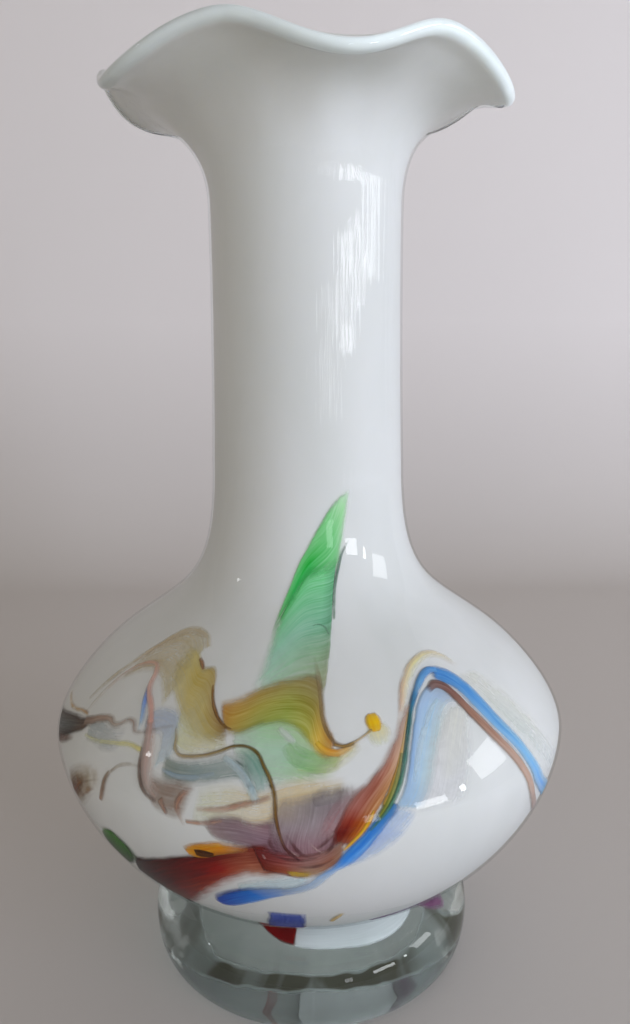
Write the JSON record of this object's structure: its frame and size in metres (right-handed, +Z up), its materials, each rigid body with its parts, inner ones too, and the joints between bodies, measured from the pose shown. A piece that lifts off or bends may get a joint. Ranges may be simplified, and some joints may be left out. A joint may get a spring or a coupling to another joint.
{
  "type": "hand blown glass vase",
  "caption": "Squat bulb vase in white opal glass with coloured glass inclusions under a clear casing, slim neck, ruffled flared lip and solid clear foot.",
  "frame": {"origin": "centre of the ground ring under the foot, on the table plane", "axes": "+Z up along the vase's axis, -Y towards the decorated front, +X to the right of a viewer in front"},
  "size_m": [0.17, 0.17, 0.2868],
  "materials": {
    "opal_white": "gloss",
    "clear_glass": "gloss",
    "foot_glass": "gloss",
    "leaf_green": "gloss",
    "veil_green": "gloss",
    "olive": "gloss",
    "gold": "gloss",
    "yellow": "gloss",
    "aqua": "gloss",
    "khaki": "gloss",
    "straw": "gloss",
    "umber": "gloss",
    "plum": "gloss",
    "grey_blue": "gloss",
    "smoke": "gloss",
    "caramel": "gloss",
    "mauve": "gloss",
    "amber": "gloss",
    "brick_red": "gloss",
    "dark_green": "gloss",
    "blue": "gloss",
    "rust": "gloss",
    "pale_gold": "gloss",
    "sky_blue": "gloss",
    "lemon": "gloss",
    "cobalt": "gloss",
    "wine": "gloss",
    "violet": "gloss"
  },
  "bodies": {
    "root": {"opal_body": "opal_white", "clear_casing": "clear_glass", "foot": "foot_glass", "leaf_shard": "leaf_green", "leaf_veil": "veil_green", "olive_band": "olive", "gold_tail": "gold", "yellow_dot": "yellow", "aqua_patch": "aqua", "khaki_patch": "khaki", "straw_arc": "straw", "umber_thread": "umber", "plum_thread_upper": "plum", "plum_thread_lower": "plum", "grey_wisp": "grey_blue", "smoke_streak": "smoke", "caramel_streak": "caramel", "mauve_patch": "mauve", "amber_chip": "amber", "brick_band": "brick_red", "green_chip": "dark_green", "blue_cane": "blue", "rust_cane_inner": "rust", "rust_cane_outer": "rust", "gold_line": "pale_gold", "sky_fill": "sky_blue", "lemon_veil": "lemon", "pale_tail": "sky_blue", "cobalt_chip": "cobalt", "straw_fleck": "straw", "wine_chip": "wine", "violet_chip": "violet"}
  },
  "joints": []
}
